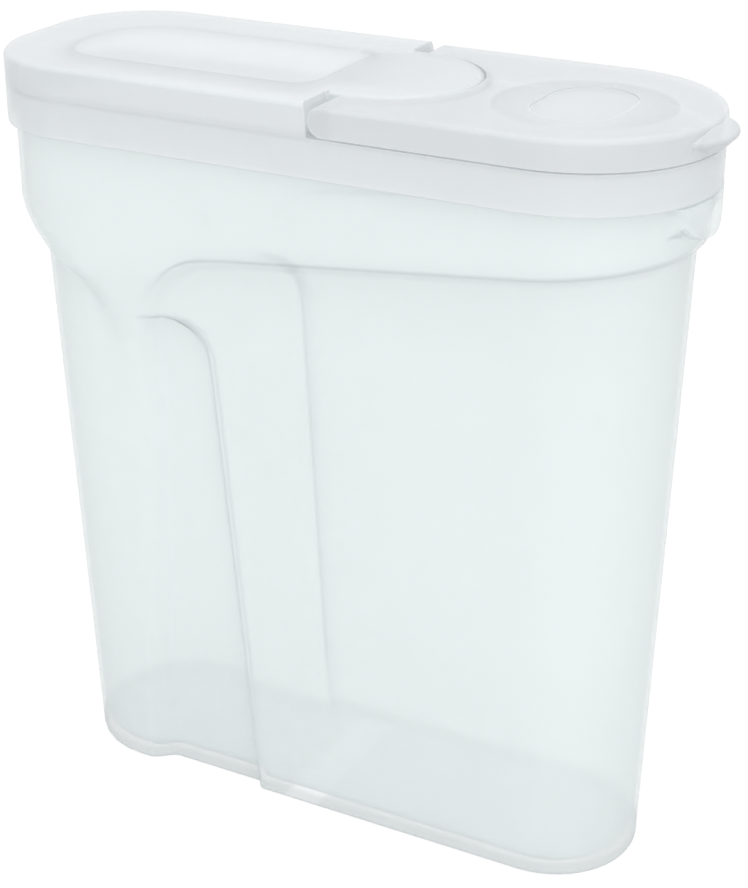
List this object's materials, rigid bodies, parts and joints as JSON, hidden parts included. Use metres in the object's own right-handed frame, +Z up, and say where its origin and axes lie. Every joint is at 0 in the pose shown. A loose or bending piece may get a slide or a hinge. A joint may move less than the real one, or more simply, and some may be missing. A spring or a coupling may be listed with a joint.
{
  "type": "cereal container with flip spout",
  "caption": "Tall oblong frosted food keeper with grip recesses, a push-fit lid and a hinged flip cap that opens a round pour opening.",
  "frame": {"origin": "middle of the flat base, below the middle of the lid's length without its thumb tab", "axes": "+X along the length from the grip end to the spout, +Y across the width, +Z up"},
  "size_m": [0.255, 0.092, 0.272],
  "materials": {
    "tub_frost": "frosted translucent polypropylene",
    "lid_frost": "frosted translucent polypropylene, a little denser",
    "cap_frost": "frosted translucent polypropylene, a little denser"
  },
  "bodies": {
    "tub": {"tub": "tub_frost"},
    "lid": {"lid": "lid_frost"},
    "flip_cap": {"flip_cap": "cap_frost"}
  },
  "joints": [
    {"name": "lid_lift", "type": "slide", "parent": "tub", "child": "lid", "axis": [0, 0, 1], "range_m": [0, 0.06]},
    {"name": "flip_cap_hinge", "type": "hinge", "parent": "lid", "child": "flip_cap", "pos_m": [0.013, 0, 0.2663], "axis": [0, -1, 0], "range_deg": [0, 100]}
  ]
}
